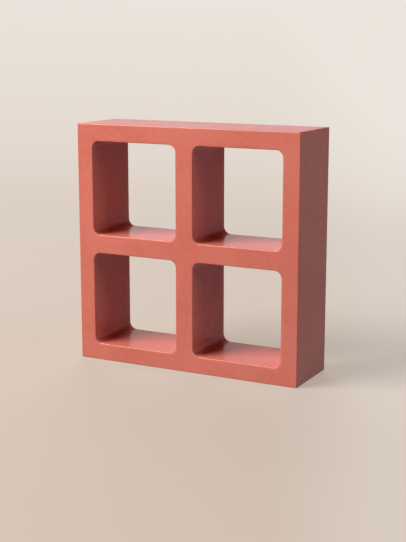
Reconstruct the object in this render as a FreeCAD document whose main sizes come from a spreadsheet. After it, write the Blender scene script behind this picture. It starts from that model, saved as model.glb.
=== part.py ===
"""Square breeze block: one cast unit, pierced from face to face by a grid of rounded cells.

The block stands on its bed face. X runs along the face, Y through the wall and Z up, and the
origin is the centre of the bed face. The pattern face looks towards -Y. Sizes are millimetres
and degrees, and every one of them is a cell of the Sizes sheet.
"""

import FreeCAD
import Part
import math
import os
import Sketcher

DRIVING_SIZES = [
    ("face_width", 290.0, "length of the pattern face, along X"),
    ("face_height", 290.0, "height of the pattern face, along Z"),
    ("wall_depth", 85.0, "thickness of the wall that the block builds, along Y"),
    ("rim", 20.5, "thickness of the outer rim, measured on the pattern face"),
    ("web", 22.5, "thickness of the webs between cells, measured on the pattern face"),
    ("cell_radius", 9.0, "radius in the corners of each cell, on the pattern face"),
    ("cell_draft", 0.7, "angle by which each cell wall flares towards the back face"),
    ("cells_across", 2, "number of cells along X"),
    ("cells_up", 2, "number of cells along Z"),
    ("arris", 0.7, "radius that softens every sharp edge of the casting"),
]

# One pitch is a cell and the web beside it.
PITCH_ACROSS = "(Sizes.face_width - 2 * Sizes.rim + Sizes.web) / Sizes.cells_across"
PITCH_UP = "(Sizes.face_height - 2 * Sizes.rim + Sizes.web) / Sizes.cells_up"

CORE_OVERRUN = 5.0  # how far the core that cuts a cell runs out of the back face
SAME_PLACE = 0.001  # two positions closer than this are the same place


def make_size_sheet(doc):
    """Writes the driving dimensions, one row each: name, plain number, meaning."""
    sheet = doc.addObject("Spreadsheet::Sheet", "Sizes")
    for row, (name, value, meaning) in enumerate(DRIVING_SIZES, start=1):
        sheet.set(f"A{row}", name)
        sheet.set(f"B{row}", str(value))
        sheet.set(f"C{row}", meaning)
        sheet.setAlias(f"B{row}", name)
    doc.recompute()
    return sheet


def origin_plane(body, role):
    """The body's own origin plane that has this role."""
    return next(item for item in body.Origin.OriginFeatures if item.Role == role)


def new_face_sketch(body, name):
    """An empty sketch on the plane of the pattern face, with sketch x along X and y along Z."""
    sketch = body.newObject("Sketcher::SketchObject", name)
    sketch.AttachmentSupport = [(origin_plane(body, "XZ_Plane"), "")]
    sketch.MapMode = "FlatFace"
    sketch.setExpression("AttachmentOffset.Base.z", "Sizes.wall_depth / 2")
    return sketch


def name_distance(sketch, kind, name, expression, *references):
    """A distance constraint with a name of its own, driven by the expression."""
    start_value = 10.0
    index = sketch.addConstraint(Sketcher.Constraint(kind, *references, start_value))
    sketch.renameConstraint(index, name)
    sketch.setExpression(f"Constraints.{name}", expression)


def keep_square(sketch, bottom, right, top, left):
    """Holds two lines of an outline level and two upright."""
    for line in (bottom, top):
        sketch.addConstraint(Sketcher.Constraint("Horizontal", line))
    for line in (right, left):
        sketch.addConstraint(Sketcher.Constraint("Vertical", line))


def pad_envelope(body):
    """The plain slab: the outline of the pattern face, padded back through the wall."""
    sketch = new_face_sketch(body, "face_outline")
    corners = [FreeCAD.Vector(x, y, 0) for x, y in ((-20, 0), (20, 0), (20, 30), (-20, 30))]
    lines = [
        sketch.addGeometry(Part.LineSegment(start, end), False)
        for start, end in zip(corners, corners[1:] + corners[:1])
    ]
    for line, following in zip(lines, lines[1:] + lines[:1]):
        sketch.addConstraint(Sketcher.Constraint("Coincident", line, 2, following, 1))
    bottom, right, top, left = lines
    keep_square(sketch, bottom, right, top, left)
    sketch.addConstraint(Sketcher.Constraint("Symmetric", bottom, 1, bottom, 2, -1, 1))
    name_distance(sketch, "DistanceX", "width", "Sizes.face_width", bottom, 1, bottom, 2)
    name_distance(sketch, "DistanceY", "height", "Sizes.face_height", right, 1, right, 2)

    pad = body.newObject("PartDesign::Pad", "envelope")
    pad.Profile = sketch
    pad.Reversed = True
    pad.setExpression("Length", "Sizes.wall_depth")
    body.Document.recompute()
    return pad


def draw_cell_outline(body):
    """The mouth of the lower left cell: straight sides joined by quarter circles."""
    sketch = new_face_sketch(body, "cell_outline")
    radius = 5.0
    corners = [(10, 10, 180), (40, 10, 270), (40, 40, 0), (10, 40, 90)]
    arcs = []
    for x, y, start in corners:
        circle = Part.Circle(FreeCAD.Vector(x, y, 0), FreeCAD.Vector(0, 0, 1), radius)
        quarter = Part.ArcOfCircle(circle, math.radians(start), math.radians(start + 90))
        arcs.append(sketch.addGeometry(quarter, False))
    lines = []
    for arc, following in zip(arcs, arcs[1:] + arcs[:1]):
        side = Part.LineSegment(sketch.getPoint(arc, 2), sketch.getPoint(following, 1))
        line = sketch.addGeometry(side, False)
        sketch.addConstraint(Sketcher.Constraint("Tangent", arc, 2, line, 1))
        sketch.addConstraint(Sketcher.Constraint("Tangent", line, 2, following, 1))
        lines.append(line)
    for arc in arcs[1:]:
        sketch.addConstraint(Sketcher.Constraint("Equal", arcs[0], arc))
    bottom, right, top, left = lines
    keep_square(sketch, bottom, right, top, left)
    to_left = "Sizes.face_width / 2 - Sizes.rim"
    width = f"{PITCH_ACROSS} - Sizes.web"
    height = f"{PITCH_UP} - Sizes.web"
    name_distance(sketch, "Radius", "corner", "Sizes.cell_radius", arcs[0])
    name_distance(sketch, "DistanceX", "to_left", to_left, left, 1, -1, 1)
    name_distance(sketch, "DistanceY", "sill", "Sizes.rim", -1, 1, bottom, 1)
    name_distance(sketch, "DistanceX", "width", width, left, 1, right, 1)
    name_distance(sketch, "DistanceY", "height", height, bottom, 1, top, 1)
    return sketch


def cut_first_cell(body):
    """The lower left cell, cut through the wall and flaring towards the back face."""
    pocket = body.newObject("PartDesign::Pocket", "first_cell")
    pocket.Profile = draw_cell_outline(body)
    pocket.setExpression("Length", f"Sizes.wall_depth + {CORE_OVERRUN}")
    pocket.setExpression("TaperAngle", "Sizes.cell_draft")
    body.Document.recompute()
    return pocket


def new_row(body, name, sketch_axis, pitch, count):
    """One direction of the grid: a row of cells at one pitch."""
    row = body.newObject("PartDesign::LinearPattern", name)
    row.Direction = sketch_axis
    row.Mode = "Spacing"
    row.setExpression("Offset", pitch)
    row.setExpression("Occurrences", count)
    return row


def repeat_cells(body, pocket):
    """Repeats the first cell along the face and up it."""
    sketch = pocket.Profile[0]
    across = new_row(body, "row", (sketch, ["H_Axis"]), PITCH_ACROSS, "Sizes.cells_across")
    up = new_row(body, "column", (sketch, ["V_Axis"]), PITCH_UP, "Sizes.cells_up")
    grid = body.newObject("PartDesign::MultiTransform", "cell_grid")
    grid.Originals = [pocket]
    grid.Transformations = [across, up]
    body.Tip = grid
    body.Document.recompute()
    return grid


def sharp_edges(shape):
    """Names of the edges to soften: all but those inside a cell, which run smoothly."""
    box = shape.BoundBox
    names = []
    for number, edge in enumerate(shape.Edges, start=1):
        reach = edge.BoundBox
        on_a_face = reach.YLength < SAME_PLACE
        on_the_outside = (
            min(reach.XMin - box.XMin, box.XMax - reach.XMax) < SAME_PLACE
            and min(reach.ZMin - box.ZMin, box.ZMax - reach.ZMax) < SAME_PLACE
        )
        if on_a_face or on_the_outside:
            names.append(f"Edge{number}")
    return names


def soften_edges(body, grid):
    """Rounds the rim's edges and the mouths of the cells, as a mould leaves them."""
    fillet = body.newObject("PartDesign::Fillet", "arrises")
    fillet.Base = (grid, sharp_edges(grid.Shape))
    fillet.setExpression("Radius", "Sizes.arris")
    body.Tip = fillet
    body.Document.recompute()
    return fillet


def make_breeze_block(doc):
    """The whole casting, as one body."""
    body = doc.addObject("PartDesign::Body", "breeze_block")
    body.Label = "breeze_block"
    envelope = pad_envelope(body)
    first_cell = cut_first_cell(body)
    grid = repeat_cells(body, first_cell)
    arrises = soften_edges(body, grid)
    body.Placement = FreeCAD.Placement()
    doc.recompute()
    check_each_step_cuts([envelope, first_cell, grid, arrises])
    check_every_cell_is_cut(doc.Sizes, envelope, first_cell, grid)
    return body


def check_each_step_cuts(steps):
    """After the envelope, each feature has to take material away."""
    for before, after in zip(steps, steps[1:]):
        if not after.Shape.Volume < before.Shape.Volume:
            raise RuntimeError(f"{after.Name} took nothing off {before.Name}")


def check_every_cell_is_cut(sizes, envelope, first_cell, grid):
    """The grid has to take away the first cell's volume once for every cell."""
    one = envelope.Shape.Volume - first_cell.Shape.Volume
    cut = envelope.Shape.Volume - grid.Shape.Volume
    cells = sizes.cells_across * sizes.cells_up
    if abs(cut / one - cells) > SAME_PLACE:
        raise RuntimeError(f"{cut / one:.3f} of {cells} cells are cut")


def check_document(doc):
    """Stops if any object of the document failed to rebuild."""
    for item in doc.Objects:
        if {"Invalid", "Error"} & set(item.State):
            raise RuntimeError(f"{item.Name} is {item.State}")


def write_step(body):
    """Writes the body's shape, once it is known to be one valid solid."""
    shape = body.Shape
    if shape.isNull() or not shape.isValid() or len(shape.Solids) != 1:
        raise RuntimeError(f"{body.Label} is not one valid solid")
    os.makedirs("parts", exist_ok=True)
    shape.exportStep(f"parts/{body.Label}.step")
    box = shape.BoundBox
    print(f"{body.Label}: {box.XLength:.2f} x {box.YLength:.2f} x {box.ZLength:.2f} mm,"
          f" {shape.Volume / 1e6:.4f} litres, {len(shape.Faces)} faces")


def main():
    doc = FreeCAD.newDocument("breeze_block_document")
    make_size_sheet(doc)
    block = make_breeze_block(doc)
    check_document(doc)
    write_step(block)


main()
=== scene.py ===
"""Looks of a square breeze block: its cast concrete skin, a pale studio and one camera.

Everything is in metres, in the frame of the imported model: X along the pattern face, Y through the
wall, Z up, and the origin at the centre of the bed face. The pattern face looks towards -Y.
"""

import math

import bmesh
import bpy
import numpy as np
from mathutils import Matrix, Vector


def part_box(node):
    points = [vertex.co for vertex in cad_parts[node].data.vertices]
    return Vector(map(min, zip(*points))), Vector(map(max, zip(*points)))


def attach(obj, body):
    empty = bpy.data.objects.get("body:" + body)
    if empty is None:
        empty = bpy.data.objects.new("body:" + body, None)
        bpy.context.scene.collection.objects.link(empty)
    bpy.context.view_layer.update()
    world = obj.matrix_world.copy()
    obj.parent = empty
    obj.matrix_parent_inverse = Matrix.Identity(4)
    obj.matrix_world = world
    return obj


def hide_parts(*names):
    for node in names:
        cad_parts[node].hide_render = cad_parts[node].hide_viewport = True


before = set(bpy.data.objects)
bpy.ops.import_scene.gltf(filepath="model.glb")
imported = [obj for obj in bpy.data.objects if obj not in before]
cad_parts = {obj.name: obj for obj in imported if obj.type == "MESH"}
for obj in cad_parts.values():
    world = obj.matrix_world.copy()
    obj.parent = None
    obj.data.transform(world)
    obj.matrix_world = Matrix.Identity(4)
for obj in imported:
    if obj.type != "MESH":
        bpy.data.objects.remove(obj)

MM = 0.001

# The block, as the part's source has it. Its overall size comes from the frame.
NODE = "breeze_block"
LOW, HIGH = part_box(NODE)
WIDTH, DEPTH, HEIGHT = HIGH - LOW
RIM = 20.5 * MM
WEB = 22.5 * MM
CELL_RADIUS = 9.0 * MM
CELL_DRAFT = math.radians(0.7)
ARRIS = 0.7 * MM
CELLS_ACROSS = 2
CELLS_UP = 2

# The mesh: how long a face may be, and how many steps the round stretches take.
FACE_SIZE = 2.05 * MM
CORNER_STEPS = 10
ARRIS_STEPS = 4
HOLDING_ROW = 0.30 * MM
# Rows over the flat face, by their share of the way from the border to the mouth of the cell.
FACE_ROWS = np.array([0, 0.03, 0.14, 0.28, 0.42, 0.56, 0.70, 0.85])[:, None, None]

# Relief of the cast faces, always inwards: how deep, and the lengths of its waves.
HOLLOW_DEPTH = 0.03 * MM
HOLLOW_LENGTHS = (14 * MM, 90 * MM)
RUBBED_DEPTH = 0.02 * MM
RUBBED_LENGTHS = (5 * MM, 30 * MM)
WAVES = 60

# Points closer than this are sewn into one.
SEWING_DISTANCE = 0.001 * MM


# ---------------------------------------------------------------- the block's surface


def stations(start, end):
    """Positions from start to end in even steps of about a face's size, with a holding row
    close to each end."""
    steps = max(2, round((end - start) / FACE_SIZE))
    inner = np.linspace(start, end, steps + 1)[1:-1]
    return np.concatenate([[start, start + HOLDING_ROW], inner, [end - HOLDING_ROW, end]])


def rounded_path(along_x, along_z, corner_steps):
    """Stations anticlockwise round a rectangle, with a fan of normals at each corner.

    The rectangle's corners are at the ends of along_x and along_z. Each station has a base point
    on the rectangle, the side it is on, and how far it is through the corner after that side. Its
    normal is the side's outward normal, turned by that share of a right angle.
    """
    (x0, x1), (z0, z1) = along_x[[0, -1]], along_z[[0, -1]]
    sides = [
        (along_x, np.full(len(along_x), z0)),
        (np.full(len(along_z), x1), along_z),
        (along_x[::-1], np.full(len(along_x), z1)),
        (np.full(len(along_z), x0), along_z[::-1]),
    ]
    turn = np.arange(1, corner_steps) / corner_steps
    base, side, share = [], [], []
    for number, (x, z) in enumerate(sides):
        base.append(np.stack([x, z], axis=1))
        base.append(np.repeat(base[-1][-1:], len(turn), axis=0))
        side.append(np.full(len(x) + len(turn), number))
        share.append(np.concatenate([np.zeros(len(x)), turn]))
    return np.concatenate(base), np.concatenate(side), np.concatenate(share)


def side_normal(side):
    """Outward normal of a rectangle's side: bottom, right, top and left are 0, 1, 2 and 3."""
    angle = (side - 1) * math.pi / 2
    return np.stack([np.cos(angle), np.sin(angle)], axis=-1)


def station_normal(side, share):
    """The side's outward normal, turned anticlockwise by a share of a right angle."""
    return side_normal(side + share)


def arc(centre, radius, first, last, steps):
    """Points (offset, depth) on a circle, by the angle from the direction of the front face."""
    angle = np.linspace(first, last, steps + 1)
    return centre + radius * np.stack([-np.sin(angle), -np.cos(angle)], axis=1)


def cell_profile():
    """Offset from the mouth's outline against depth, from the front face to the back face.

    It is the front arris, the wall, which leans outwards by the draft, and the back arris. Each
    arris is the circle that touches both the wall and the face.
    """
    lean = CELL_DRAFT
    upright = math.pi / 2 + lean
    centres = [
        np.array([(ARRIS + depth * math.sin(lean)) / math.cos(lean), depth])
        for depth in (ARRIS, DEPTH - ARRIS)
    ]
    front = arc(centres[0], ARRIS, 0, upright, ARRIS_STEPS)
    back = arc(centres[1], ARRIS, upright, math.pi, ARRIS_STEPS)
    share = stations(0, DEPTH)[1:-1, None] / DEPTH
    wall = front[-1] + (back[0] - front[-1]) * share
    return np.concatenate([front, wall, back])


def rim_profile():
    """Offset against depth on the outside of the block: arris, straight side, arris."""
    front = arc(np.array([0, ARRIS]), ARRIS, 0, -math.pi / 2, ARRIS_STEPS)
    back = arc(np.array([0, DEPTH - ARRIS]), ARRIS, -math.pi / 2, -math.pi, ARRIS_STEPS)
    depth = stations(ARRIS, DEPTH - ARRIS)[1:-1]
    side = np.stack([np.full(len(depth), ARRIS), depth], axis=1)
    return np.concatenate([front, side, back])


def block_points(flat, depth):
    """Points of the block from places (x, z) on the pattern face and depths behind it."""
    depth = np.broadcast_to(depth, flat.shape[:-1])
    return np.stack([flat[..., 0], LOW.y + depth, flat[..., 1]], axis=-1)


def carried(base, normal, profile):
    """A profile carried along a path: base point plus offset times normal, at the depth."""
    flat = base + profile[:, None, :1] * normal
    return block_points(flat, profile[:, 1:])


def cell_layout(size, count, start):
    """Along one axis: the half size of a cell, each cell's centre and the lines between cells."""
    pitch = (size - 2 * RIM + WEB) / count
    half = (pitch - WEB) / 2
    centres = start + RIM + half + pitch * np.arange(count)
    lines = (centres[1:] + centres[:-1]) / 2
    borders = np.concatenate([[start + ARRIS], lines, [start + size - ARRIS]])
    return half, centres, borders


HALF_X, CENTRES_X, BORDERS_X = cell_layout(WIDTH, CELLS_ACROSS, LOW.x)
HALF_Z, CENTRES_Z, BORDERS_Z = cell_layout(HEIGHT, CELLS_UP, LOW.z)


def share_of_fan(share):
    """How far a corner's ray goes out to the side it is leaving and to the one it reaches."""
    return np.minimum(1, 2 - 2 * share), np.minimum(1, 2 * share)


def border_points(base, side, share, margins):
    """Where a station's ray meets the rectangle that borders the cell.

    A straight side's ray goes straight out. A corner's fan is spread over the two stretches of
    border that meet at the rectangle's corner, half of its steps on each.
    """
    margins = np.asarray(margins)
    leaving, reaching = share_of_fan(share)
    out = side_normal(side) * (margins[side] * leaving)[:, None]
    ahead = (side + 1) % 4
    return base + out + side_normal(ahead) * (margins[ahead] * reaching)[:, None]


def cell_surface(column, row):
    """One cell and the face round it, front and back: rows of stations from the front border,
    in over the face, through the cell and out over the back face to the back border."""
    reach_x, reach_z = HALF_X - CELL_RADIUS, HALF_Z - CELL_RADIUS
    centre = np.array([CENTRES_X[column], CENTRES_Z[row]])
    base, side, share = rounded_path(
        centre[0] + stations(-reach_x, reach_x),
        centre[1] + stations(-reach_z, reach_z),
        CORNER_STEPS,
    )
    normal = station_normal(side, share)
    margins = [
        centre[1] - reach_z - BORDERS_Z[row],
        BORDERS_X[column + 1] - centre[0] - reach_x,
        BORDERS_Z[row + 1] - centre[1] - reach_z,
        centre[0] - reach_x - BORDERS_X[column],
    ]
    border = border_points(base, side, share, margins)
    profile = cell_profile() + np.array([CELL_RADIUS, 0])
    tube = carried(base, normal, profile)
    front_border, back_border = block_points(border, 0.0), block_points(border, DEPTH)
    front = front_border + (tube[0] - front_border) * FACE_ROWS
    back = back_border + (tube[-1] - back_border) * FACE_ROWS[::-1]
    return np.concatenate([front, tube, back])


def border_stations(reach, centres, borders):
    """Stations along one outer side, at the places where the cells' rays meet it."""
    steps = CORNER_STEPS // 2
    straight = stations(-reach, reach)
    found = []
    for centre, low, high in zip(centres, borders[:-1], borders[1:]):
        before = np.linspace(low, centre - reach, steps + 1)[:-1]
        after = np.linspace(centre + reach, high, steps + 1)[1:-1]
        found += [before, centre + straight, after]
    return np.concatenate(found + [borders[-1:]])


def rim_surface():
    """The outside of the rim: the side's profile carried round the block."""
    base, side, share = rounded_path(
        border_stations(HALF_X - CELL_RADIUS, CENTRES_X, BORDERS_X),
        border_stations(HALF_Z - CELL_RADIUS, CENTRES_Z, BORDERS_Z),
        ARRIS_STEPS,
    )
    return carried(base, station_normal(side, share), rim_profile())


def grid_faces(rows, columns, first):
    """Four-sided faces of a grid that is closed along its rows and open across them."""
    here = np.arange(columns)
    there = (here + 1) % columns
    lower = first + columns * np.arange(rows - 1)[:, None]
    return np.stack(
        [lower + here, lower + there, lower + columns + there, lower + columns + here], axis=-1
    ).reshape(-1, 4)


def smooth_noise(points, lengths, seed):
    """Smooth random relief from 0 to 1: the sum of sine waves with random directions, phases and
    lengths between the two given, squeezed into that range by a hyperbolic tangent."""
    shortest, longest = lengths
    random = np.random.default_rng(seed)
    direction = random.normal(size=(WAVES, 3))
    direction /= np.linalg.norm(direction, axis=1, keepdims=True)
    length = shortest * (longest / shortest) ** random.random(WAVES)
    phase = random.random(WAVES) * 2 * math.pi
    wave = np.sin(points @ (direction * (2 * math.pi / length)[:, None]).T + phase)
    return 0.5 + 0.5 * np.tanh(wave.sum(axis=1) / math.sqrt(WAVES))


def vectors(items, attribute):
    """One vector attribute of a mesh's items, as an array of rows."""
    values = np.zeros(len(items) * 3)
    items.foreach_get(attribute, values)
    return values.reshape(-1, 3)


def edge_strength(points, normals):
    """1 along the middle of an arris and 0 on the flat: twice the product of the normal's parts on
    the two faces that the arris joins. An edge that runs through the wall counts only on the
    outside of the block, because inside a cell it is the cell's round corner."""
    x, y, z = np.abs(normals).T
    mouth = 2 * y * np.hypot(x, z)
    beyond = np.minimum(
        np.abs(points[:, 0]) - (WIDTH / 2 - 2 * ARRIS),
        np.abs(points[:, 2] - HEIGHT / 2) - (HEIGHT / 2 - 2 * ARRIS),
    )
    corner = 2 * x * z * (beyond > 0)
    return np.clip(np.maximum(mouth, corner), 0, 1)


def make_block():
    """The block's skin: four cells and the rim, sewn into one closed surface, with the slight
    hollows of a cast face and softly rubbed arrises."""
    cells = [cell_surface(column, row) for column in range(CELLS_ACROSS) for row in range(CELLS_UP)]
    # A cell is seen from inside it and the rim from outside, so their rows run opposite ways.
    grids = cells + [rim_surface()[::-1]]
    faces, first = [], 0
    for grid in grids:
        faces.append(grid_faces(grid.shape[0], grid.shape[1], first))
        first += grid.shape[0] * grid.shape[1]
    points = np.concatenate([grid.reshape(-1, 3) for grid in grids])
    mesh = bpy.data.meshes.new("cast_block")
    mesh.from_pydata(points.tolist(), [], np.concatenate(faces).tolist())

    sewn = bmesh.new()
    sewn.from_mesh(mesh)
    bmesh.ops.remove_doubles(sewn, verts=sewn.verts, dist=SEWING_DISTANCE)
    bmesh.ops.recalc_face_normals(sewn, faces=sewn.faces)
    sewn.to_mesh(mesh)
    sewn.free()
    mesh.shade_smooth()

    places = vectors(mesh.vertices, "co")
    normals = vectors(mesh.vertex_normals, "vector")
    edge = edge_strength(places, normals)
    hollow = HOLLOW_DEPTH * smooth_noise(places, HOLLOW_LENGTHS, seed=4)
    rubbed = RUBBED_DEPTH * edge * smooth_noise(places, RUBBED_LENGTHS, seed=9) ** 2
    places -= normals * (hollow + rubbed)[:, None]
    mesh.vertices.foreach_set("co", places.ravel())
    mesh.attributes.new("edge", "FLOAT", "POINT").data.foreach_set("value", edge)
    mesh.update()

    block = bpy.data.objects.new("cast_block", mesh)
    bpy.context.scene.collection.objects.link(block)
    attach(block, "root")
    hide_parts(NODE)
    return block


# ---------------------------------------------------------------- shader building


class Value:
    """A node's output. Python's arithmetic on it adds Math nodes to the same tree."""

    def __init__(self, tree, output=None):
        self.tree = tree
        self.output = output

    def node(self, kind, settings=None, sockets=None, output=0):
        """A new node of this kind: first its settings, then its sockets by name or number."""
        made = self.tree.nodes.new(kind)
        for name, value in (settings or {}).items():
            setattr(made, name, value)
        for socket, value in (sockets or {}).items():
            if isinstance(value, Value):
                self.tree.links.new(value.output, made.inputs[socket])
            else:
                made.inputs[socket].default_value = value
        return Value(self.tree, made.outputs[output])

    def math(self, operation, *values):
        """A Math node of this operation on these values."""
        return self.node("ShaderNodeMath", {"operation": operation}, dict(enumerate(values)))

    def __add__(self, other):
        return self.math("ADD", self, other)

    def __sub__(self, other):
        return self.math("SUBTRACT", self, other)

    def __rsub__(self, other):
        return self.math("SUBTRACT", other, self)

    def __mul__(self, other):
        return self.math("MULTIPLY", self, other)

    def __truediv__(self, other):
        return self.math("DIVIDE", self, other)

    def __pow__(self, other):
        return self.math("POWER", self, other)

    def __gt__(self, other):
        return self.math("GREATER_THAN", self, other)

    __radd__ = __add__
    __rmul__ = __mul__

    def at_least(self, other):
        """The larger of the two."""
        return self.math("MAXIMUM", self, other)

    def ramp(self, low, high):
        """0 below low, 1 above high and smooth between them. They may be given high first."""
        return self.node(
            "ShaderNodeMapRange",
            {"interpolation_type": "SMOOTHSTEP"},
            {"Value": self, "From Min": low, "From Max": high},
        )

    def blend(self, first, second):
        """The first colour where this is 0, the second where it is 1."""
        return self.node(
            "ShaderNodeMix", {"data_type": "RGBA"}, {0: self, 6: first, 7: second}, output=2
        )

    def noise(self, size, detail, roughness):
        """Noise of this feature size on a vector, from about 0.2 to 0.8 round a mean of 0.5."""
        sockets = {"Vector": self, "Scale": 1 / size, "Detail": detail, "Roughness": roughness}
        return self.node("ShaderNodeTexNoise", None, sockets)


def new_material(name):
    """An empty node material: the material, its tree as a Value and its output node."""
    material = bpy.data.materials.new(name)
    material.use_nodes = True
    tree = material.node_tree
    tree.nodes.clear()
    return material, Value(tree), tree.nodes.new("ShaderNodeOutputMaterial")


# ---------------------------------------------------------------- cast concrete

BODY_COLOUR = (0.620, 0.163, 0.117, 1)
PALE_COLOUR = (0.680, 0.200, 0.145, 1)
DEEP_COLOUR = (0.540, 0.118, 0.078, 1)
SAND_COLOUR = (0.700, 0.260, 0.190, 1)
# The pores' colour is painted shade: darker where the small hollows are.
PORE_SHADE_COLOUR = (0.300, 0.060, 0.042, 1)

# The features in the body: their size, and how much finer noise lies over it.
CLOUDS = dict(size=60 * MM, detail=3.0, roughness=0.5)
MOTTLE = dict(size=7 * MM, detail=4.0, roughness=0.6)
WEAR = dict(size=5 * MM, detail=3.0, roughness=0.6)
GRAIN = dict(size=0.7 * MM, detail=2.0, roughness=0.6)

# The stretch of the noise over which each feature comes in.
CLOUD_RANGE = (0.3, 0.7)
MOTTLE_RANGE = (0.25, 0.75)
WEAR_RANGE = (0.35, 0.65)
SAND_RANGE = (0.60, 0.72)

# Least share of the body colour between the clouds.
LEAST_BODY = 0.45

# How far each feature shifts the colour, and how high it stands in the bump. The pores' darker
# colour is painted shade in their small hollows.
MOTTLE_TINT, SAND_TINT, WEAR_TINT, PORE_SHADE_TINT = 0.30, 0.35, 0.20, 0.45
MOTTLE_HEIGHT, GRAIN_HEIGHT, PORE_HEIGHT = 0.025, 0.010, 0.08
BUMP_STRENGTH = 0.6

# Roughness of the plain body, and what the mottle and the sand add to it.
SATIN_ROUGHNESS = 0.21
ADDED_ROUGHNESS = 0.06

# A pore's radius is a share of the spacing, by lot, and the smallest are left out. Its rim fades
# out between two shares of that radius, which is kept off zero.
PORE_SPACING = 8 * MM
PORE_LOTS = (0.55, 1.0)
LARGEST_PORE = 0.05
SMALLEST_PORE = 0.008
PORE_RIM = (1.0, 0.6)
OFF_ZERO = 0.0001


def pores(place):
    """1 inside a pore and 0 outside: the distance to the nearest of the scattered sites, in radii
    of the pore there."""
    sites = {"Vector": place, "Scale": 1 / PORE_SPACING}
    reach = place.node("ShaderNodeTexVoronoi", None, sites, output="Distance")
    lot = place.node("ShaderNodeTexVoronoi", None, sites, output="Color")
    radius = lot.node("ShaderNodeSeparateColor", None, {0: lot}).ramp(*PORE_LOTS) * LARGEST_PORE
    return (reach / (radius + OFF_ZERO)).ramp(*PORE_RIM) * (radius > SMALLEST_PORE)


def concrete():
    """Fine cast concrete with the pigment right through: soft clouds, a sandy grain, a few small
    faint pores darkened by painted shade and slightly paler, rubbed arrises, under a satin sheen."""
    material, start, output = new_material("concrete")
    place = start.node("ShaderNodeTexCoord", output="Object")
    clouds = place.noise(**CLOUDS).ramp(*CLOUD_RANGE)
    mottle = place.noise(**MOTTLE).ramp(*MOTTLE_RANGE)
    grain = place.noise(**GRAIN)
    sand = grain.ramp(*SAND_RANGE)
    pore = pores(place)
    edge = start.node("ShaderNodeAttribute", {"attribute_name": "edge"}, output="Fac")
    worn = edge * place.noise(**WEAR).ramp(*WEAR_RANGE)

    colour = (LEAST_BODY + clouds * (1 - LEAST_BODY)).blend(DEEP_COLOUR, BODY_COLOUR)
    colour = (mottle * MOTTLE_TINT).blend(colour, PALE_COLOUR)
    colour = (sand * SAND_TINT).blend(colour, SAND_COLOUR)
    colour = (worn * WEAR_TINT).blend(colour, PALE_COLOUR)
    # Painted shade: the pores are darkened where their hollows are.
    colour = (pore * PORE_SHADE_TINT).blend(colour, PORE_SHADE_COLOUR)

    height = grain * GRAIN_HEIGHT + mottle * MOTTLE_HEIGHT - pore * PORE_HEIGHT
    bump = start.node(
        "ShaderNodeBump", None, {"Strength": BUMP_STRENGTH, "Distance": MM, "Height": height}
    )
    shader = start.node(
        "ShaderNodeBsdfPrincipled",
        None,
        {
            "Base Color": colour,
            "Roughness": SATIN_ROUGHNESS + mottle * ADDED_ROUGHNESS + sand * ADDED_ROUGHNESS,
            "IOR": 1.5,
            "Normal": bump,
        },
    )
    start.tree.links.new(shader.output, output.inputs["Surface"])
    return material


# ---------------------------------------------------------------- studio

# The floor is a disc, and the backdrop a bowl that curves up from it to an upright wall.
FLOOR_RADIUS = 2.1
FLOOR_RINGS = FLOOR_RADIUS * np.array([0.0002, 0.15, 0.35, 0.55, 0.80, 1.0])
WALL_RADIUS = 3.2
CURVE = WALL_RADIUS - FLOOR_RADIUS
CURVE_STEPS = 16
WALL_HEIGHT = 4.0
SECTORS = 96

# Colours at the near floor and at the wall. The paint pales towards the back of the studio, which
# is turned from +Y, and with height, as painted light.
STUDIO_COLOURS = ((0.652, 0.537, 0.450), (0.840, 0.783, 0.722))
STUDIO_TURN = math.radians(27.6)
PAINTED_LIGHT_AT_BLOCK = 0.09
PAINTED_LIGHT_PER_METRE = 0.22

# A wedge on the right is paler still, with painted light that falls off to the left. It opens from
# a tip in front of the block, and fades in between two slopes.
PAINTED_LIGHT_IN_WEDGE = 0.33
WEDGE_TIP = 1.4
WEDGE_LEAST = 0.6
WEDGE_SIDE = (0.04, 0.18)

# Partly lit floor shows near the block and glowing floor far from it, with a fade between. Near the
# block the glow is painted light over the floor, so the block's shadow shows only in the lit share.
# The lit paint is darker than the glow, and bounces only a share of the light on to the block.
LIT_SHARE = 0.40
LIT_LEVEL = 0.75
LIT_WITHIN = 0.75
GLOW_BEYOND = 1.70
FLOOR_BOUNCE = 0.25

# Painted reflection: glow that only glossy rays see, in place of the paint, which lights nothing
# but gives the block its sheen. It is a band low down behind the block on the left, and a weaker
# glow low down on the right. At 1 it is about as bright as white. Each pair of places is where the
# glow is nothing and where it is full.
SHEEN_COLOUR = (0.965, 0.930, 1.0, 1)
SHEEN_LEFT = 1.0
SHEEN_RIGHT = 0.29
LEFT_SIDE = (-0.1, -0.5)
LEFT_BACK = (0.0, 0.5)
LEFT_FOOT = (0.15, 0.35)
LEFT_HEAD = (1.0, 0.6)
RIGHT_SIDE = (-0.25, 0.0)
RIGHT_HEAD = (1.5, 0.5)


def turned(name, radius, height):
    """A surface of revolution about Z: the profile (radius, height), turned in equal steps."""
    angle = np.linspace(0, 2 * math.pi, SECTORS, endpoint=False)
    points = np.stack(
        [
            radius[:, None] * np.cos(angle),
            radius[:, None] * np.sin(angle),
            np.repeat(height[:, None], SECTORS, axis=1),
        ],
        axis=-1,
    )
    mesh = bpy.data.meshes.new(name)
    faces = grid_faces(len(radius), SECTORS, 0)
    mesh.from_pydata(points.reshape(-1, 3).tolist(), [], faces.tolist())
    mesh.shade_smooth()
    made = bpy.data.objects.new(name, mesh)
    bpy.context.scene.collection.objects.link(made)
    return made


def studio_place(start):
    """The place in the studio along X, Y and Z."""
    place = start.node("ShaderNodeTexCoord", output="Object")
    return (start.node("ShaderNodeSeparateXYZ", None, {0: place}, output=axis) for axis in "XYZ")


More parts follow.
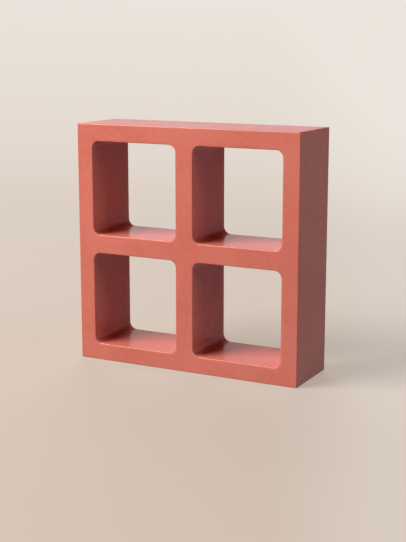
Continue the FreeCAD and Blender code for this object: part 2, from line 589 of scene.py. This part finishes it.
def studio_paint(start, level):
    """The studio's colour with its painted light, at this level of brightness, and the distance
    from the block.

    The share of wall colour, which is painted light, grows evenly with the way to the back plus
    twice the height. To the right it grows by up to a third more, over a wedge that opens towards
    the back.
    """
    x, y, z = studio_place(start)
    back = y * math.cos(STUDIO_TURN) - x * math.sin(STUDIO_TURN)
    right = x * math.cos(STUDIO_TURN) + y * math.sin(STUDIO_TURN)
    wedge = (right / (back + WEDGE_TIP).at_least(WEDGE_LEAST)).ramp(*WEDGE_SIDE)
    # Painted light: the paint is paler to the back, upwards and in the wedge on the right.
    pale = PAINTED_LIGHT_AT_BLOCK + PAINTED_LIGHT_PER_METRE * (back + 2 * z) + PAINTED_LIGHT_IN_WEDGE * wedge
    floor, wall = (tuple(level * part for part in paint) + (1,) for paint in STUDIO_COLOURS)
    return pale.blend(floor, wall), (x * x + y * y) ** 0.5


def sheen_glow(start):
    """How strongly the studio glows for glossy rays, as a painted reflection that lights nothing:
    in a band behind the block on the left, and low down to its right."""
    x, y, z = studio_place(start)
    band = z.ramp(*LEFT_FOOT) * z.ramp(*LEFT_HEAD)
    behind_left = x.ramp(*LEFT_SIDE) * y.ramp(*LEFT_BACK)
    low_right = x.ramp(*RIGHT_SIDE) * z.ramp(*RIGHT_HEAD)
    return behind_left * band * SHEEN_LEFT + low_right * SHEEN_RIGHT


def studio_material(name, lit_share):
    """Paint that is partly lit near the block and glows at its own colour further off, so that
    the studio has no seam.

    The share of glow depends on the ray. Camera and transmission rays get all but lit_share of it
    near the block and all of it far off, so near the block the glow paints light over the block's
    shadow. Glossy rays get the sheen's glow and nothing else, so a mirror would not show the paint;
    that glow is a painted reflection. Rays that carry light get the lit paint, at the floor's share
    of its strength, and none of the glow.
    """
    material, start, output = new_material(name)
    paint, distance = studio_paint(start, 1)
    lit_paint, _ = studio_paint(start, LIT_LEVEL)
    camera, glossy, through = (
        start.node("ShaderNodeLightPath", output=f"Is {ray} Ray")
        for ray in ("Camera", "Glossy", "Transmission")
    )
    direct = camera.at_least(through)
    sight = direct.at_least(glossy * sheen_glow(start))
    lit = start.node("ShaderNodeBsdfDiffuse", None, {"Color": lit_paint})
    # Painted reflection: glossy rays see the sheen's glow, which lights nothing.
    glow_colour = glossy.blend(paint, SHEEN_COLOUR)
    glow = start.node("ShaderNodeEmission", None, {"Color": glow_colour, "Strength": sight})
    # Painted light: near the block the camera sees the glow over all but the lit share, which
    # lightens the block's shadow.
    share = direct * (1 - distance.ramp(GLOW_BEYOND, LIT_WITHIN) * lit_share)
    share = share + glossy + (1 - direct - glossy) * (1 - FLOOR_BOUNCE)
    mixed = start.node("ShaderNodeMixShader", None, {0: share, 1: lit, 2: glow})
    start.tree.links.new(mixed.output, output.inputs["Surface"])
    return material


def make_studio():
    """A level floor disc under the block and a bowl of backdrop that rises round it."""
    floor = turned("studio_floor", FLOOR_RINGS, np.zeros(len(FLOOR_RINGS)))
    floor.data.materials.append(studio_material("studio_floor", LIT_SHARE))

    angle = np.linspace(0, math.pi / 2, CURVE_STEPS + 1)
    radius = np.append(FLOOR_RADIUS + CURVE * np.sin(angle), WALL_RADIUS)
    height = np.append(CURVE - CURVE * np.cos(angle), WALL_HEIGHT)
    backdrop = turned("studio_backdrop", radius, height)
    backdrop.data.materials.append(studio_material("studio_backdrop", 0.0))
    # The bowl neither bounces light on to the block nor keeps light from it.
    backdrop.visible_diffuse = False
    backdrop.visible_shadow = False


def aimed(place, target):
    """The turn that points a lamp or camera at the target, as Euler angles."""
    return (Vector(target) - Vector(place)).to_track_quat("-Z", "Y").to_euler()


def around(target, azimuth, elevation, distance):
    """The place at this azimuth from -Y towards +X, elevation and distance from the target."""
    a, e = math.radians(azimuth), math.radians(elevation)
    away = Vector((math.sin(a) * math.cos(e), -math.cos(a) * math.cos(e), math.sin(e)))
    return Vector(target) + away * distance


def make_lamp(name, azimuth, elevation, distance, size, power, colour, glossy=True):
    """A soft square lamp that points at the middle of the block. If it isn't glossy, it lights
    surfaces but is not mirrored in their sheen."""
    middle = (LOW + HIGH) / 2
    light = bpy.data.lights.new(name, "AREA")
    light.shape = "SQUARE"
    light.size = size
    light.energy = power
    light.color = colour
    lamp = bpy.data.objects.new(name, light)
    lamp.location = around(middle, azimuth, elevation, distance)
    lamp.rotation_euler = aimed(lamp.location, middle)
    lamp.visible_camera = False
    lamp.visible_glossy = glossy
    bpy.context.scene.collection.objects.link(lamp)


WHITE = (1.0, 1.0, 1.0)
COOL = (0.90, 0.95, 1.0)
LAMPS = {
    "key_lamp": dict(
        azimuth=-44, elevation=37, distance=2.6, size=1.8, power=129, colour=WHITE
    ),
    "back_lamp": dict(
        azimuth=-151, elevation=40, distance=2.6, size=1.2, power=33, colour=COOL, glossy=False
    ),
    "side_lamp": dict(
        azimuth=85, elevation=20, distance=2.4, size=1.0, power=17, colour=COOL, glossy=False
    ),
}
AIR_STRENGTH = 0.03


def make_light():
    """A large soft key lamp on the left of the front, which the sheen mirrors, weaker lamps behind
    the left and on the right side, which it doesn't, and a little even fill."""
    for name, settings in LAMPS.items():
        make_lamp(name, **settings)
    world = bpy.data.worlds.new("studio_air")
    world.use_nodes = True
    background = world.node_tree.nodes["Background"]
    background.inputs["Color"].default_value = COOL + (1,)
    background.inputs["Strength"].default_value = AIR_STRENGTH
    bpy.context.scene.world = world


CAMERA_LENS = 77.37
CAMERA_TARGET = (0.0051, -0.0040, 0.1162)
CAMERA_PLACE = dict(azimuth=27.58, elevation=11.55, distance=1.3976)


def make_camera():
    """The one camera, from the right of the pattern face and a little above it."""
    data = bpy.data.cameras.new("camera")
    data.lens = CAMERA_LENS
    camera = bpy.data.objects.new("camera", data)
    camera.location = around(CAMERA_TARGET, **CAMERA_PLACE)
    camera.rotation_euler = aimed(camera.location, CAMERA_TARGET)
    bpy.context.scene.collection.objects.link(camera)
    bpy.context.scene.camera = camera


# ---------------------------------------------------------------- the scene

make_camera()
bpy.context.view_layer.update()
make_block().data.materials.append(concrete())
make_studio()
make_light()
bpy.context.scene.view_settings.view_transform = "Standard"
